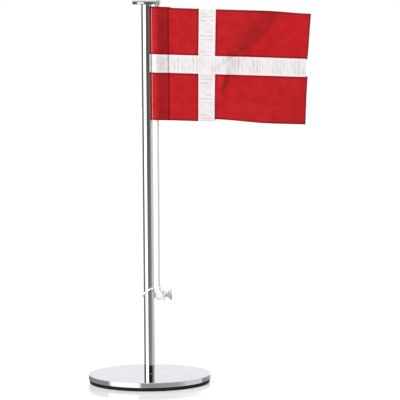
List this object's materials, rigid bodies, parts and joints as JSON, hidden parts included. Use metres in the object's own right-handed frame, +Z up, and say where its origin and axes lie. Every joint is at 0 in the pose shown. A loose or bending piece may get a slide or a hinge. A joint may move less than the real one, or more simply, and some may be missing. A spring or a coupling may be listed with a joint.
{
  "type": "desk flag stand",
  "caption": "Slim tubular pole on a round weighted base, with a cloth flag that runs up and down on a thin halyard wound on a knob cleat.",
  "frame": {"origin": "centre of the base pad's underside, on the pole's axis", "axes": "+Z up along the pole, +X from the pole towards the flag's fly, flag seen from the -Y side"},
  "size_m": [0.222, 0.12, 0.3773],
  "materials": {
    "polished_steel": "mirror polished stainless steel",
    "turned_steel": "as turned",
    "base_pad": "matt black foam rubber",
    "halyard_cord": "white braided cord, slightly glossy",
    "red_cloth": "ribbed red ribbon cloth with a soft sheen",
    "white_ribbon": "ribbed white ribbon with scalloped woven edges"
  },
  "bodies": {
    "stand": {"base_pad": "base_pad", "base_plate": "polished_steel", "base_screw": "turned_steel", "pole_tube": "polished_steel", "pole_foot_plug": "turned_steel", "pole_head_plug": "turned_steel", "truck_disc": "polished_steel", "truck_stud": "turned_steel", "cleat_knob": "polished_steel", "cleat_stud": "turned_steel", "cleat_anchor": "turned_steel", "halyard_line": "halyard_cord", "halyard_pole_turn": "halyard_cord", "halyard_tail": "halyard_cord", "halyard_windings": "halyard_cord"},
    "line_knots": {"upper_line_knot": "halyard_cord", "lower_line_knot": "halyard_cord"},
    "flag": {"flag_upper_hoist_panel": "red_cloth", "flag_lower_hoist_panel": "red_cloth", "flag_upper_fly_panel": "red_cloth", "flag_lower_fly_panel": "red_cloth", "flag_upper_upright_ribbon": "white_ribbon", "flag_lower_upright_ribbon": "white_ribbon", "flag_cross_ribbon": "white_ribbon"}
  },
  "joints": [
    {"name": "flag_hoist", "type": "slide", "parent": "stand", "child": "line_knots", "axis": [0, 0, -1], "range_m": [0, 0.16]},
    {"name": "flag_swing", "type": "hinge", "parent": "line_knots", "child": "flag", "pos_m": [0.009, -0.0039, 0.31], "axis": [0, 0, 1], "range_deg": [-150, 105]}
  ]
}
